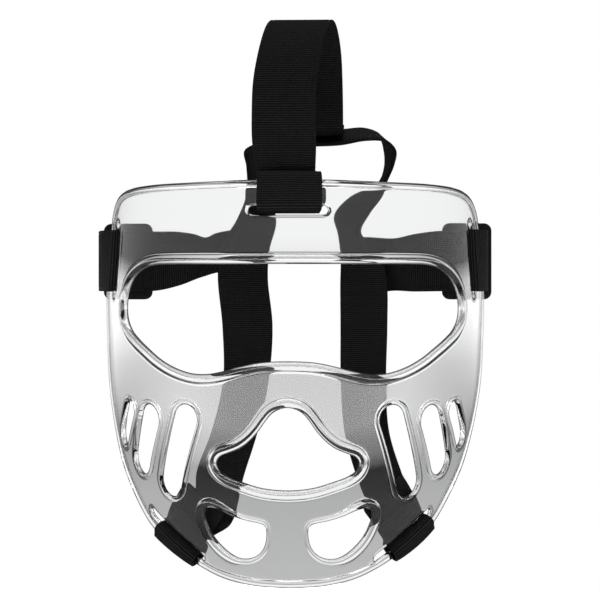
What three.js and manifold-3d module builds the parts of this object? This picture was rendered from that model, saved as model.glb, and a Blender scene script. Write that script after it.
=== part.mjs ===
import * as THREE from 'three';
import Module from 'manifold-3d';

// Clear face shield with an elastic strap harness, hanging from the crest of its top strap.
// Millimetres, +Z up, the face looks along -Y, +X is the right of a viewer in front of it.

// Shell sizes
const WALL = 2.2;
const RIM = 2.5;
const SLOT_RIM = 1.5;
const VENT_RIM = 1.4;
const EDGE_RIM = 1.9;
const DEVELOP = 95;
const SHEET_COLUMNS = 22;
const SHEET_ROWS = 11;

// Webbing sizes
const WEB = 31.4;
const WEB_THICK = 1.6;
const TAB_WIDE = 40;
const LOWER_TAB_WIDE = 28;
const TAB_LONG = 26;
const LOWER_TAB_LONG = 31;
const TOP_TAB_LONG = 12.5;
const TAB_THICK = 1.4;
const TAB_CORNER = 4;
const LAYER_GAP = 0.35;
const FOLD_EASE = 0.35;
const SLOT_WIDE = 4.4;
const SLOT_LONG = 39.4;

// Hang point under the crest of the top strap, in the frame of the shell
const HANG = { x: 5.5, y: 45, z: 139.9 };

// Level sections of the shell: half width, depth radius and how far back the front lies
const SECTIONS = [
  { z: -143, half: 69.6, depth: 72, front: 11 },
  { z: -129, half: 76.6, depth: 77, front: 2.5 },
  { z: -118, half: 82.2, depth: 80, front: -2.5 },
  { z: -109, half: 85.6, depth: 83, front: -5 },
  { z: -99, half: 88.6, depth: 85, front: -6.5 },
  { z: -83, half: 92.4, depth: 88, front: -6.5 },
  { z: -67, half: 95, depth: 90, front: -5 },
  { z: -44, half: 97.9, depth: 92, front: -2 },
  { z: -20, half: 99.3, depth: 93, front: -0.5 },
  { z: 0, half: 99.7, depth: 93, front: 0 },
  { z: 31, half: 97.8, depth: 92, front: 1.5 },
  { z: 58.5, half: 97, depth: 90, front: 5 },
];

// Outer edge of the shell: brow and jaw by turn from the front, rear edge by height
const BROW = [
  { turn: 0, z: 57.1 },
  { turn: 32, z: 56.2 },
  { turn: 47, z: 55.8 },
  { turn: 57, z: 54.9 },
  { turn: 63, z: 53.5 },
  { turn: 68, z: 50.8 },
  { turn: 70.2, z: 48.7 },
];
const REAR = [
  { z: -99, turn: 61 },
  { z: -83, turn: 67.6 },
  { z: -67, turn: 72.2 },
  { z: -44, turn: 76.4 },
  { z: -20, turn: 76.9 },
  { z: 20, turn: 76.9 },
  { z: 36, turn: 75.6 },
  { z: 44, turn: 73.4 },
  { z: 48.7, turn: 70.2 },
];
const JAW = [
  { turn: 0, z: -139.4 },
  { turn: 15.5, z: -138.2 },
  { turn: 28.5, z: -134.2 },
  { turn: 40, z: -126.4 },
  { turn: 52, z: -115.4 },
  { turn: 57.2, z: -107.6 },
  { turn: 61, z: -99 },
];

// Openings on the developed shell, right half or right side, u across and z up
const EYE = [
  { u: 0, z: 17.5 },
  { u: 32, z: 17.5 },
  { u: 62, z: 17.7 },
  { u: 74, z: 17.3 },
  { u: 82.5, z: 15.4 },
  { u: 90, z: 11.4 },
  { u: 95.2, z: 5.8 },
  { u: 98.2, z: -1.5 },
  { u: 97.6, z: -8.8 },
  { u: 93, z: -14.6 },
  { u: 85.6, z: -19.4 },
  { u: 77.5, z: -24 },
  { u: 70, z: -28.3 },
  { u: 62, z: -32 },
  { u: 54.5, z: -34.5 },
  { u: 47.5, z: -35.9 },
  { u: 39.6, z: -36 },
  { u: 31.6, z: -34.6 },
  { u: 22.5, z: -32.2 },
  { u: 12.5, z: -30.2 },
  { u: 0, z: -29.6 },
];
const NOSE = [
  { u: 0, z: -52 },
  { u: 3.5, z: -52.7 },
  { u: 7.4, z: -54.8 },
  { u: 10.7, z: -58.6 },
  { u: 14.2, z: -63.4 },
  { u: 18.6, z: -68 },
  { u: 24, z: -71.8 },
  { u: 30, z: -74.2 },
  { u: 34.9, z: -76.2 },
  { u: 36.7, z: -79 },
  { u: 35.5, z: -82.2 },
  { u: 31.8, z: -84.8 },
  { u: 22.5, z: -88 },
  { u: 12.5, z: -90.6 },
  { u: 0, z: -91.6 },
];
const VENT = [
  { u: 12, z: -109.4 },
  { u: 14.5, z: -108.2 },
  { u: 22, z: -106.8 },
  { u: 30.5, z: -104.6 },
  { u: 37.5, z: -102 },
  { u: 42.5, z: -101.1 },
  { u: 46, z: -102.4 },
  { u: 47.2, z: -105.2 },
  { u: 46.5, z: -108.8 },
  { u: 44.4, z: -114.6 },
  { u: 41, z: -119.6 },
  { u: 36.2, z: -123.8 },
  { u: 30.6, z: -126.2 },
  { u: 24, z: -126.4 },
  { u: 18.4, z: -124.6 },
  { u: 14, z: -120.8 },
  { u: 11.8, z: -115 },
];

// Cheek slots, right side: centres of the two rounded ends and the half width between the rims
const CHEEK_SLOTS = [
  { topU: 53.2, topZ: -58.2, lowU: 66.1, lowZ: -89.4, half: 7.1 },
  { topU: 77.9, topZ: -59.1, lowU: 88.1, lowZ: -79.4, half: 7.2 },
  { topU: 95.9, topZ: -55.3, lowU: 105.4, lowZ: -68.8, half: 4.5 },
];

// Strap bars: middle of the slot on the developed shell, the way the slot runs, and the webbing on the bar:
// how far it lies off the middle and how wide it is there, drawn narrower in the lower slots
const TOP_BAR = { u: 0, z: 43.8, runU: 1, runZ: 0, shift: 0.7, wide: WEB };
const SIDE_BAR = { u: 112.5, z: 20.3, runU: 0, runZ: 1, shift: 0, wide: WEB };
const LOWER_BAR = { u: 71.4, z: -116.2, runU: 21.5, runZ: 15, shift: 3.5, wide: 26.4 };

// Free run of the top strap, from the brow bar over the crest to the seam at the back:
// turn is the heading of the width, lean its slope
const TOP_RUN = [
  { x: -2.4, y: 15.2, z: 76, turn: 0, lean: 0 },
  { x: -2.8, y: 15.6, z: 92, turn: 0, lean: 0 },
  { x: -2.2, y: 17, z: 108, turn: 0, lean: 0 },
  { x: 0.4, y: 23, z: 125, turn: 0, lean: 0 },
  { x: 3.2, y: 32, z: 136.6, turn: 0, lean: 0 },
  { x: 5.5, y: 45, z: 140.7, turn: 0, lean: 0 },
  { x: 7.4, y: 58, z: 136.6, turn: 0, lean: 0 },
  { x: 8.8, y: 66, z: 126, turn: 0, lean: 0 },
  { x: 9.4, y: 69.5, z: 110, turn: 0, lean: 0 },
  { x: 9.6, y: 69.8, z: 96, turn: 0, lean: 0 },
  { x: 9.6, y: 70.2, z: 89, turn: 0, lean: 0 },
  { x: 9.6, y: 72.6, z: 86, turn: 0, lean: 2 },
  { x: 9.6, y: 77, z: 85.9, turn: 0, lean: 2 },
  { x: 9.6, y: 83, z: 87.7, turn: 0, lean: 2 },
  { x: 9.6, y: 95.4, z: 91.8, turn: 0, lean: 2 },
];

// Free run of the back strap, from the lower right bar up, over the seam and down to the lower left bar
const BACK_RUN = [
  { x: 43.6, y: 42, z: -87, turn: -43, lean: 6 },
  { x: 37.4, y: 62, z: -67, turn: -43, lean: 2 },
  { x: 35.5, y: 82, z: -42, turn: -41, lean: 0 },
  { x: 35.6, y: 95, z: -14, turn: -38, lean: 0 },
  { x: 35.4, y: 98, z: 8, turn: -38, lean: 0 },
  { x: 34, y: 97.6, z: 23, turn: -47, lean: 0 },
  { x: 28, y: 96, z: 35, turn: -68, lean: 0 },
  { x: 29.3, y: 93, z: 45, turn: -54, lean: 0 },
  { x: 36.5, y: 90, z: 54, turn: -57, lean: 0 },
  { x: 45.6, y: 86.5, z: 62, turn: -82, lean: 0 },
  { x: 49, y: 84, z: 70, turn: -82, lean: 0 },
  { x: 49.4, y: 82.5, z: 78, turn: -80, lean: -4 },
  { x: 45.4, y: 82, z: 84.6, turn: -84, lean: -10 },
  { x: 36.6, y: 82, z: 86.6, turn: -88, lean: -15 },
  { x: 24, y: 82, z: 85.2, turn: -90, lean: -18 },
  { x: 9, y: 82, z: 84.6, turn: -90, lean: -18 },
  { x: -6, y: 82, z: 84.6, turn: -90, lean: -18 },
  { x: -16.8, y: 82, z: 84, turn: -92, lean: -14 },
  { x: -22.4, y: 82.5, z: 78.6, turn: -100, lean: -6 },
  { x: -22, y: 84, z: 69, turn: -98, lean: 0 },
  { x: -19.6, y: 88, z: 55, turn: -108, lean: 0 },
  { x: -20.8, y: 92, z: 42, turn: -126, lean: 0 },
  { x: -27.4, y: 96.4, z: 27, turn: -142, lean: 0 },
  { x: -28.6, y: 98, z: 12, turn: -143, lean: 0 },
  { x: -25.9, y: 95, z: -14, turn: -143, lean: 0 },
  { x: -25.8, y: 82, z: -42, turn: -135, lean: 0 },
  { x: -30, y: 62, z: -67, turn: -134, lean: 2 },
  { x: -35.6, y: 42, z: -87, turn: -134, lean: 6 },
];

// Free runs of the side straps, from the temple loop to the end seam behind the arm of the back strap
const RIGHT_RUN = [
  { x: 83.6, y: 71, z: 20.3, turn: -90, lean: 90 },
  { x: 80, y: 79.5, z: 20.3, turn: -90, lean: 90 },
  { x: 73, y: 84.2, z: 20.2, turn: -90, lean: 88 },
  { x: 62, y: 86.6, z: 19.4, turn: -90, lean: 72 },
  { x: 52.6, y: 90.4, z: 18.6, turn: -90, lean: 60 },
  { x: 47.6, y: 94.4, z: 18.4, turn: -90, lean: 62 },
  { x: 37, y: 103, z: 18, turn: -70, lean: 78 },
  { x: 27, y: 110.6, z: 18, turn: -50, lean: 88 },
];
const LEFT_RUN = [
  { x: -83.6, y: 71, z: 20.3, turn: -90, lean: 90 },
  { x: -80, y: 79.5, z: 20.3, turn: -90, lean: 88 },
  { x: -73, y: 84.2, z: 20.4, turn: -90, lean: 80 },
  { x: -62, y: 89, z: 21.8, turn: -90, lean: 62 },
  { x: -52, y: 94, z: 23.4, turn: -94, lean: 44 },
  { x: -44.4, y: 98.4, z: 23.8, turn: -104, lean: 34 },
  { x: -38, y: 101.6, z: 23.2, turn: -116, lean: 50 },
  { x: -30, y: 105.4, z: 22.4, turn: -124, lean: 74 },
  { x: -19, y: 111.4, z: 22, turn: -130, lean: 88 },
];

const wasm = await Module();
wasm.setup();
const radians = THREE.MathUtils.degToRad;
const point = (x, y, z) => new THREE.Vector3(x, y, z);

// Smooth value of one column of a table at a place along another
function smooth(rows, key, value, at) {
  const last = rows.length - 1;
  const x = THREE.MathUtils.clamp(at, rows[0][key], rows[last][key]);
  let i = 0;
  while (i < last - 1 && x > rows[i + 1][key]) {
    i += 1;
  }
  const gap = (j) => rows[j + 1][key] - rows[j][key];
  const rise = (j) => (rows[j + 1][value] - rows[j][value]) / gap(j);
  const slope = (j) => {
    if (j === 0) {
      return rise(0);
    }
    if (j === last) {
      return rise(last - 1);
    }
    return (rise(j - 1) * gap(j) + rise(j) * gap(j - 1)) / (gap(j - 1) + gap(j));
  };
  const h = gap(i);
  const s = (x - rows[i][key]) / h;
  const from = (2 * s ** 3 - 3 * s ** 2 + 1) * rows[i][value] + (s ** 3 - 2 * s ** 2 + s) * h * slope(i);
  const to = (3 * s ** 2 - 2 * s ** 3) * rows[i + 1][value] + (s ** 3 - s ** 2) * h * slope(i + 1);
  return from + to;
}

// Point of the outer face of the shell
function face(u, z) {
  const turn = u / DEVELOP;
  const half = smooth(SECTIONS, 'z', 'half', z);
  const depth = smooth(SECTIONS, 'z', 'depth', z);
  const front = smooth(SECTIONS, 'z', 'front', z);
  return point(half * Math.sin(turn), front + depth * (1 - Math.cos(turn)), z);
}

function across(u, z) {
  return face(u + 0.01, z).sub(face(u - 0.01, z)).divideScalar(0.02);
}

function upward(u, z) {
  return face(u, z + 0.02).sub(face(u, z - 0.02)).divideScalar(0.04);
}

function outward(u, z) {
  return across(u, z).cross(upward(u, z)).normalize();
}

// Point on the developed shell, raised along the outward normal
function onShell(u, z, raise) {
  return face(u, z).addScaledVector(outward(u, z), raise);
}

// Closed body through a row of rings, either a closed round or with both ends capped
function loft(rings, round) {
  const n = rings[0].length;
  const faces = [];
  const spans = round ? rings.length : rings.length - 1;
  for (let i = 0; i < spans; i += 1) {
    const a = i * n;
    const b = ((i + 1) % rings.length) * n;
    for (let j = 0; j < n; j += 1) {
      const k = (j + 1) % n;
      faces.push([a + j, b + j, b + k], [a + j, b + k, a + k]);
    }
  }
  if (!round) {
    const end = (rings.length - 1) * n;
    for (let j = 0; j < n / 2 - 1; j += 1) {
      const k = n - 1 - j;
      faces.push([j, j + 1, k - 1], [j, k - 1, k]);
      faces.push([end + j, end + k - 1, end + j + 1], [end + j, end + k, end + k - 1]);
    }
  }
  return solid(rings.flat(), faces);
}

// Solid from points and faces, turned to face outward
function solid(points, faces) {
  let volume = 0;
  faces.forEach(([a, b, c]) => {
    volume += points[a].dot(points[b].clone().cross(points[c]));
  });
  const facing = volume > 0 ? faces : faces.map(([a, b, c]) => [a, c, b]);
  const vertProperties = new Float32Array(points.flatMap((p) => p.toArray()));
  const triVerts = new Uint32Array(facing.flat());
  return new wasm.Manifold(new wasm.Mesh({ numProp: 3, vertProperties, triVerts }));
}

// Sheet of the shell between its brow, rear and jaw edges
function sheet() {
  const low = JAW[JAW.length - 1];
  const high = BROW[BROW.length - 1];
  const rings = [];
  for (let i = 0; i <= SHEET_COLUMNS; i += 1) {
    const s = (2 * i) / SHEET_COLUMNS - 1;
    const outside = [];
    const inside = [];
    for (let j = 0; j <= SHEET_ROWS; j += 1) {
      const { u, z } = patch(s, j / SHEET_ROWS, low, high);
      outside.push(onShell(u, z, 0));
      inside.unshift(onShell(u, z, -WALL));
    }
    rings.push([...outside, ...inside]);
  }
  return loft(rings, false);
}

// Place on the developed shell from its share across (-1 to 1) and up (0 to 1)
function patch(s, t, low, high) {
  const rear = smooth(REAR, 'z', 'turn', low.z + t * (high.z - low.z));
  const jaw = smooth(JAW, 'turn', 'z', Math.abs(s) * low.turn);
  const brow = smooth(BROW, 'turn', 'z', Math.abs(s) * high.turn);
  return { u: radians(s * rear) * DEVELOP, z: jaw + t * (brow - jaw) };
}

// Loop of the outer edge on the developed shell
function edgeLoop() {
  const low = JAW[JAW.length - 1];
  const high = BROW[BROW.length - 1];
  const loop = [];
  const walk = (count, place) => {
    for (let i = 0; i < count; i += 1) {
      loop.push(place(i / count));
    }
  };
  walk(18, (k) => patch(2 * k - 1, 0, low, high));
  walk(12, (k) => patch(1, k, low, high));
  walk(18, (k) => patch(1 - 2 * k, 1, low, high));
  walk(12, (k) => patch(-1, 1 - k, low, high));
  return loop;
}

// Even closed loop through the rows of a table
function evenLoop(rows, count) {
  const curve = new THREE.CatmullRomCurve3(rows.map((r) => point(r.u, r.z, 0)), true, 'centripetal');
  const places = curve.getSpacedPoints(count).slice(0, count);
  return places.map((p) => ({ u: p.x, z: p.y }));
}

function mirrored(rows) {
  return rows.map((r) => ({ u: -r.u, z: r.z }));
}

function wholeFromHalf(rows) {
  return [...rows, ...mirrored(rows.slice(1, -1)).reverse()];
}

// Loop set outward in the developed shell, by a distance for each place
function grown(loop, by) {
  const n = loop.length;
  let area = 0;
  loop.forEach((p, i) => {
    const q = loop[(i + 1) % n];
    area += p.u * q.z - q.u * p.z;
  });
  const side = area > 0 ? 1 : -1;
  return loop.map((p, i) => {
    const q = loop[(i + 1) % n];
    const o = loop[(i + n - 1) % n];
    const share = (side * by(p)) / Math.hypot(q.u - o.u, q.z - o.z);
    return { u: p.u + share * (q.z - o.z), z: p.z - share * (q.u - o.u) };
  });
}

// Loop of a slot with round ends
function slotLoop(topU, topZ, lowU, lowZ, half, count) {
  const heading = Math.atan2(topZ - lowZ, topU - lowU);
  const loop = [];
  const end = (u, z, from) => {
    for (let i = 0; i <= count; i += 1) {
      const a = from + (Math.PI * i) / count;
      loop.push({ u: u + half * Math.cos(a), z: z + half * Math.sin(a) });
    }
  };
  end(topU, topZ, heading - Math.PI / 2);
  end(lowU, lowZ, heading + Math.PI / 2);
  return loop;
}

// Cutter that fills a loop right through the wall
function cutter(loop, columns, rows) {
  const us = loop.map((p) => p.u);
  const left = Math.min(...us);
  const right = Math.max(...us);
  const reach = { out: RIM + 1.5, in: -WALL - RIM - 1.5 };
  const rings = [];
  for (let i = 0; i <= columns; i += 1) {
    const share = 0.5 - 0.498 * Math.cos((Math.PI * i) / columns);
    const u = left + (right - left) * share;
    const { low, high } = span(loop, u);
    const outside = [];
    const inside = [];
    for (let j = 0; j <= rows; j += 1) {
      const z = low + ((high - low) * j) / rows;
      outside.push(onShell(u, z, reach.out));
      inside.unshift(onShell(u, z, reach.in));
    }
    rings.push([...outside, ...inside]);
  }
  return loft(rings, false);
}

// Lowest and highest place of a loop at one place across
function span(loop, u) {
  const found = [];
  loop.forEach((p, i) => {
    const q = loop[(i + 1) % loop.length];
    if ((p.u <= u && q.u > u) || (q.u <= u && p.u > u)) {
      found.push(p.z + ((u - p.u) / (q.u - p.u)) * (q.z - p.z));
    }
  });
  return { low: Math.min(...found), high: Math.max(...found) };
}

// Round rim along a loop, centred in the wall, its radius given for each place
function rim(loop, radius) {
  const sides = 5;
  const n = loop.length;
  const centres = loop.map((p) => onShell(p.u, p.z, -WALL / 2));
  const rings = centres.map((c, i) => {
    const along = centres[(i + 1) % n].clone().sub(centres[(i + n - 1) % n]).normalize();
    const up = outward(loop[i].u, loop[i].z);
    const out = up.clone().cross(along).normalize();
    const wide = radius(loop[i]);
    const ring = [];
    for (let j = 0; j < sides; j += 1) {
      const a = (2 * Math.PI * (j + 0.5)) / sides;
      ring.push(c.clone().addScaledVector(out, wide * Math.cos(a)).addScaledVector(up, wide * Math.sin(a)));
    }
    return ring;
  });
  return loft(rings, true);
}

// Radius of a vent's rim: thin along the chin, full on the cheek side
function ventRim(p) {
  return VENT_RIM + (RIM - VENT_RIM) * THREE.MathUtils.smoothstep(Math.abs(p.u), 24, 44);
}

// Both slots or openings of a pair
function pair(loop) {
  return [loop, mirrored(loop)];
}

// Slot of a strap bar, on the developed shell
function barSlot(bar) {
  const long = across(bar.u, bar.z).multiplyScalar(bar.runU);
  const scale = long.addScaledVector(upward(bar.u, bar.z), bar.runZ).length();
  const reach = (SLOT_LONG - SLOT_WIDE) / 2 / scale;
  const du = bar.runU * reach;
  const dz = bar.runZ * reach;
  return slotLoop(bar.u + du, bar.z + dz, bar.u - du, bar.z - dz, SLOT_WIDE / 2, 6);
}

// The whole shell, openings cut through and rimmed
function shell() {
  const full = () => RIM;
  const openings = [
    { loop: grown(evenLoop(wholeFromHalf(EYE), 48), full), radius: full, columns: 26, rows: 4 },
    { loop: grown(evenLoop(wholeFromHalf(NOSE), 30), full), radius: full, columns: 18, rows: 3 },
  ];
  pair(grown(evenLoop(VENT, 19), ventRim)).forEach((loop) => {
    openings.push({ loop, radius: ventRim, columns: 12, rows: 3 });
  });
  CHEEK_SLOTS.forEach((s) => {
    const loop = slotLoop(s.topU, s.topZ, s.lowU, s.lowZ, s.half + SLOT_RIM, 4);
    pair(loop).forEach((side) => openings.push({ loop: side, radius: () => SLOT_RIM, columns: 7, rows: 2 }));
  });
  let body = sheet();
  openings.forEach((o) => {
    body = body.subtract(cutter(o.loop, o.columns, o.rows));
  });
  body = body.add(rim(edgeLoop(), () => EDGE_RIM));
  openings.forEach((o) => {
    body = body.add(rim(o.loop, o.radius));
  });
  const slots = [barSlot(TOP_BAR), ...pair(barSlot(SIDE_BAR)), ...pair(barSlot(LOWER_BAR))];
  slots.forEach((loop) => {
    body = body.subtract(cutter(loop, 12, 2));
  });
  return body;
}

// Strap bar with its own directions: run along the slot, e from the slot to the edge, both per mm
function barFrame(bar) {
  const su = across(bar.u, bar.z);
  const sz = upward(bar.u, bar.z);
  const run = su.clone().multiplyScalar(bar.runU).addScaledVector(sz, bar.runZ);
  const long = run.length();
  const out = run.clone().divideScalar(long).cross(outward(bar.u, bar.z));
  const gram = su.dot(su) * sz.dot(sz) - su.dot(sz) ** 2;
  const eu = (out.dot(su) * sz.dot(sz) - out.dot(sz) * su.dot(sz)) / gram;
  const ez = (out.dot(sz) * su.dot(su) - out.dot(su) * su.dot(sz)) / gram;
  const side = Math.sign(eu * bar.u + ez * bar.z);
  return { ...bar, qu: bar.runU / long, qz: bar.runZ / long, eu: eu * side, ez: ez * side };
}

// Distance from the slot line to the edge of the shell at one place along the slot
function toEdge(bar, q) {
  const u = bar.u + bar.qu * q;
  const z = bar.z + bar.qz * q;
  const side = (p) => (p.u - u) * bar.ez - (p.z - z) * bar.eu;
  const ahead = (p) => ((p.u - u) * bar.eu + (p.z - z) * bar.ez) / (bar.eu ** 2 + bar.ez ** 2);
  const loop = edgeLoop();
  const found = [];
  loop.forEach((a, i) => {
    const b = loop[(i + 1) % loop.length];
    if (side(a) * side(b) <= 0) {
      const share = side(a) / (side(a) - side(b));
      found.push(ahead(a) + (ahead(b) - ahead(a)) * share);
    }
  });
  return Math.min(...found.filter((e) => e > 0));
}

// Place by a strap bar: e towards the edge, q along the slot, raise off the outer face
function byBar(bar, e, q, raise) {
  return onShell(bar.u + bar.eu * e + bar.qu * q, bar.z + bar.ez * e + bar.qz * q, raise);
}

// Stations of a strap, its two edges and its middle: from the slot line, or from the edge of the shell
function acrossBar(bar) {
  return [-bar.wide / 2, 0, bar.wide / 2].map((q) => q + bar.shift);
}

function barStation(bar, e, raise, drift = 0) {
  return acrossBar(bar).map((q) => byBar(bar, e, q + drift, raise));
}

function edgeStation(bar, beyond, raise, drift = 0, tight = 0) {
  const ends = [beyond, beyond - tight, beyond];
  return acrossBar(bar).map((q, k) => byBar(bar, toEdge(bar, q) + ends[k], q + drift, raise));
}

function freeStation(row) {
  const turn = radians(row.turn);
  const lean = radians(row.lean);
  const wide = point(Math.cos(lean) * Math.cos(turn), Math.cos(lean) * Math.sin(turn), Math.sin(lean));
  return [-WEB / 2, 0, WEB / 2].map((q) => point(row.x, row.y, row.z).addScaledVector(wide, q));
}

function flipped(station) {
  return station.map((p) => point(-p.x, p.y, p.z));
}

// Strap lofted through its stations, finer where it bends
function strap(stations, thick) {
  const track = (k) => new THREE.CatmullRomCurve3(stations.map((s) => s[k]), false, 'centripetal');
  const tracks = [0, 1, 2].map(track);
  const fine = 24 * (stations.length - 1);
  const sections = [];
  for (let i = 0; i <= fine; i += 1) {
    sections.push(section(tracks, i / fine));
  }
  const kept = [sections[0]];
  sections.slice(1, -1).forEach((s) => {
    const before = kept[kept.length - 1];
    const bend = s.along.angleTo(before.along) + s.normal.angleTo(before.normal);
    if (bend > 0.46 || s.points[1].distanceTo(before.points[1]) > 26) {
      kept.push(s);
    }
  });
  kept.push(sections[fine]);
  const rings = kept.map((s) => {
    const over = s.points.map((p) => p.clone().addScaledVector(s.normal, thick / 2));
    const under = s.points.map((p) => p.clone().addScaledVector(s.normal, -thick / 2));
    return [...over, ...under.reverse()];
  });
  return loft(rings, false);
}

function section(tracks, t) {
  const points = tracks.map((c) => c.getPoint(t));
  const along = tracks[1].getPoint(Math.min(t + 0.0005, 1)).sub(tracks[1].getPoint(Math.max(t - 0.0005, 0)));
  along.normalize();
  const wide = points[2].clone().sub(points[0]).normalize();
  return { points, along, normal: along.clone().cross(wide).normalize() };
}

// Tab with round corners over a placing of (along, across)
function tab(place, long, broad) {
  const steps = [0, 0.5, 1.8, TAB_CORNER, long / 2];
  const alongs = [...steps, ...steps.slice(0, -1).reverse().map((s) => long - s)];
  const rings = alongs.map((s) => {
    const near = Math.max(TAB_CORNER - Math.min(s, long - s), 0);
    const half = broad / 2 - TAB_CORNER + Math.sqrt(TAB_CORNER ** 2 - near ** 2);
    const qs = [-half, -half / 3, half / 3, half];
    const over = qs.map((q) => place(s, q, TAB_THICK / 2));
    const under = qs.map((q) => place(s, q, -TAB_THICK / 2));
    return [...over, ...under.reverse()];
  });
  return loft(rings, false);
}

// Heights of the layers by a bar, counted off the outer face of the shell
const overEdge = EDGE_RIM - WALL / 2 + LAYER_GAP + FOLD_EASE + WEB_THICK / 2;
const underEdge = -WALL / 2 - EDGE_RIM - LAYER_GAP - WEB_THICK / 2 - 0.15;
const webToTab = (WEB_THICK + TAB_THICK) / 2 + LAYER_GAP;

// Fold of the webbing out of a slot, over the bar and round the edge to the inside; a tight one
// lies straight across the bulge of the edge
function fold(bar, slotAt, inside, back, reach, drift = 0, tight = 0) {
  const middle = (overEdge + inside) / 2;
  const radius = (overEdge - inside) / 2;
  const stations = [
    barStation(bar, slotAt, -WALL - 1),
    barStation(bar, slotAt + 0.1, -0.2),
    barStation(bar, slotAt + 1, overEdge),
    barStation(bar, slotAt + 3.1, overEdge + 0.6),
    edgeStation(bar, -1.5, overEdge + 0.1),
  ];
  [20, 55, 90, 125, 160].forEach((a) => {
    const turn = radians(a);
    const raise = middle + radius * Math.cos(turn);
    stations.push(edgeStation(bar, reach * Math.sin(turn), raise, 0, tight * Math.sin(turn)));
  });
  stations.push(edgeStation(bar, -1.5, inside, drift * 0.3));
  stations.push(edgeStation(bar, -back, inside, drift * 0.8));
  return stations;
}

const topBar = barFrame(TOP_BAR);
const sideBar = barFrame(SIDE_BAR);
const lowerRight = barFrame(LOWER_BAR);
const lowerLeft = { ...lowerRight, shift: -2.5 };

// Top strap: down behind the tab, through the brow slot and over the bar
const topTabRaise = underEdge - webToTab - 0.45;
const topMain = topTabRaise - webToTab - 1;
const topStations = [
  ...TOP_RUN.map(freeStation).reverse(),
  edgeStation(topBar, 3, topMain - 0.5, -2),
  edgeStation(topBar, -5, topMain, -1),
  barStation(topBar, 2.6, topMain),
  barStation(topBar, 0.9, topMain + 0.4),
  barStation(topBar, 0.3, topMain + 1.6),
  ...fold(topBar, 0.3, underEdge, 7, 5.2),
];

// Lower folds of the back strap: from the free end on the wall, out through the slot, over the bar,
// round the edge and up behind the tab into the arm
const lowerReturn = -WALL / 2 - RIM - LAYER_GAP - WEB_THICK / 2 - 0.1;
const lowerTabRaise = lowerReturn - webToTab - 0.5;
const lowerArm = lowerTabRaise - webToTab - 0.9;
const lowerStations = (bar, drift, reach, turnIn) => [
  barStation(bar, -13, lowerReturn - 0.2),
  barStation(bar, -6, lowerReturn),
  barStation(bar, -2.6, lowerReturn + 0.1),
  ...fold(bar, 0.4, lowerArm, 10, reach, turnIn, 0.6),
  barStation(bar, -20, lowerArm - 1.5, drift),
];
const backStations = [
  ...lowerStations(lowerRight, 5, 4.5, 4.4),
  ...BACK_RUN.map(freeStation),
  ...lowerStations(lowerLeft, -4.2, 4.4, 0).map(flipped).reverse(),
];

// Side straps: a loose loop round the temple bar, slacker on the left
const LOOP = [
  { y: 87.2, left: 87.6, right: 86.8 },
  { y: 86.6, left: 94, right: 92.6 },
  { y: 84.4, left: 99.6, right: 97 },
  { y: 80, left: 101.8, right: 98.6 },
  { y: 74, left: 101.6, right: 99.4 },
  { y: 66, left: 99, right: 98.6 },
];
const sideStations = (side) => [
  ...LOOP.map((p) => freeStation({ x: p[side], y: p.y, z: SIDE_BAR.z, turn: 0, lean: 90 })),
  barStation(sideBar, 2.4, overEdge),
  barStation(sideBar, 0.8, overEdge - 0.6),
  barStation(sideBar, 0, -0.4),
  barStation(sideBar, 0, -WALL - 0.8),
  barStation(sideBar, 1, -WALL - 4),
];

// Tabs on the folded ends
const topTab = (s, q, raise) => {
  const e = toEdge(topBar, 0) + 1 - s;
  return byBar(topBar, e, q * 1.06 + topBar.shift - 2.4, topTabRaise + raise);
};
const lowerTab = (bar) => (s, q, raise) => {
  const e = toEdge(bar, bar.shift) - 3 - s;
  return byBar(bar, e, q + bar.shift + 1.6, lowerTabRaise + raise);
};
const sideTab = (far) => (s, q, raise) => point(far - s, 89.4 + raise - 0.02 * s, SIDE_BAR.z + q);
const leftward = (place) => (s, q, raise) => {
  const p = place(s, q, raise);
  return point(-p.x, p.y, p.z);
};

// Finishes
const clear = new THREE.MeshStandardMaterial({ color: 0xe6e8ea, roughness: 0.08, metalness: 0 });
const webbing = new THREE.MeshStandardMaterial({ color: 0x101012, roughness: 0.85, metalness: 0 });
const hooks = new THREE.MeshStandardMaterial({ color: 0x161618, roughness: 0.95, metalness: 0 });

function node(name, body, material) {
  const made = body.getMesh();
  const geometry = new THREE.BufferGeometry();
  geometry.setAttribute('position', new THREE.BufferAttribute(Float32Array.from(made.vertProperties), 3));
  geometry.setIndex(new THREE.BufferAttribute(Uint32Array.from(made.triVerts), 1));
  const mesh = new THREE.Mesh(geometry, material);
  mesh.name = name;
  return mesh;
}

const harness = new THREE.Group();
harness.name = 'harness';
harness.add(node('top_strap', strap(topStations, WEB_THICK), webbing));
harness.add(node('back_strap', strap(backStations, WEB_THICK), webbing));
const rightSide = [...sideStations('right'), ...RIGHT_RUN.map(freeStation)];
const leftSide = [...sideStations('left').map(flipped), ...LEFT_RUN.map(freeStation)];
harness.add(node('side_strap_right', strap(rightSide, WEB_THICK), webbing));
harness.add(node('side_strap_left', strap(leftSide, WEB_THICK), webbing));
harness.add(node('tab_top', tab(topTab, TOP_TAB_LONG, TAB_WIDE), hooks));
harness.add(node('tab_side_right', tab(sideTab(102.7), TAB_LONG, TAB_WIDE), hooks));
harness.add(node('tab_side_left', tab(leftward(sideTab(101.8)), TAB_LONG, TAB_WIDE), hooks));
const lowerTabLeft = leftward(lowerTab(lowerLeft));
harness.add(node('tab_lower_right', tab(lowerTab(lowerRight), LOWER_TAB_LONG, LOWER_TAB_WIDE), hooks));
harness.add(node('tab_lower_left', tab(lowerTabLeft, LOWER_TAB_LONG, LOWER_TAB_WIDE), hooks));

const mask = new THREE.Group();
mask.name = 'mask';
mask.position.set(-HANG.x, -HANG.y, -HANG.z);
mask.add(node('shell', shell(), clear));
mask.add(harness);

const root = new THREE.Group();
root.name = 'face_mask';
root.add(mask);

export default root;
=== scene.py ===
import math

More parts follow.
